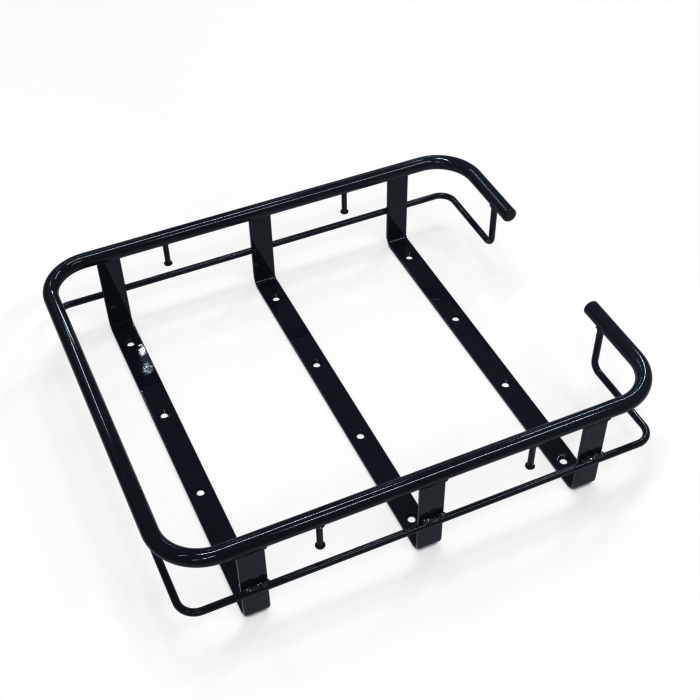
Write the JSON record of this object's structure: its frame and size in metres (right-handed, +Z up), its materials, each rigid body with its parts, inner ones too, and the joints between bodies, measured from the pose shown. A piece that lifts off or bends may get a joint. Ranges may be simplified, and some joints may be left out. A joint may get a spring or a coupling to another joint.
{
  "type": "welded cargo rack",
  "caption": "Rigid open-ended cargo rack: a bent tube rail on flat-bar brackets with countersunk bolt holes, a round-bar lower rail and rope pegs, in gloss black.",
  "frame": {"origin": "on the floor, under the middle of the rack's bounding box", "axes": "+X from the closed end to the open end, +Y across the rack, +Z up from the bracket feet to the rail"},
  "size_m": [0.6, 0.5184, 0.1345],
  "materials": {
    "gloss_black_paint": "gloss black powder coat over steel",
    "painted_weld": "gloss black powder coat over rippled weld metal"
  },
  "bodies": {
    "root": {"top_rail": "gloss_black_paint", "lower_rail": "gloss_black_paint", "bracket_closed_end": "gloss_black_paint", "bracket_middle": "gloss_black_paint", "bracket_open_end": "gloss_black_paint", "end_cap_near": "gloss_black_paint", "rope_peg_closed_end_near": "gloss_black_paint", "rope_peg_open_end_near": "gloss_black_paint", "end_cap_far": "gloss_black_paint", "rope_peg_closed_end_far": "gloss_black_paint", "rope_peg_open_end_far": "gloss_black_paint", "cap_weld_near": "painted_weld", "riser_weld_near": "painted_weld", "leg_weld_closed_end_near": "painted_weld", "rod_weld_closed_end_near": "painted_weld", "leg_weld_middle_near": "painted_weld", "rod_weld_middle_near": "painted_weld", "leg_weld_open_end_near": "painted_weld", "rod_weld_open_end_near": "painted_weld", "peg_weld_closed_end_near": "painted_weld", "peg_weld_open_end_near": "painted_weld", "cap_weld_far": "painted_weld", "riser_weld_far": "painted_weld", "leg_weld_closed_end_far": "painted_weld", "rod_weld_closed_end_far": "painted_weld", "leg_weld_middle_far": "painted_weld", "rod_weld_middle_far": "painted_weld", "leg_weld_open_end_far": "painted_weld", "rod_weld_open_end_far": "painted_weld", "peg_weld_closed_end_far": "painted_weld", "peg_weld_open_end_far": "painted_weld"}
  },
  "joints": []
}
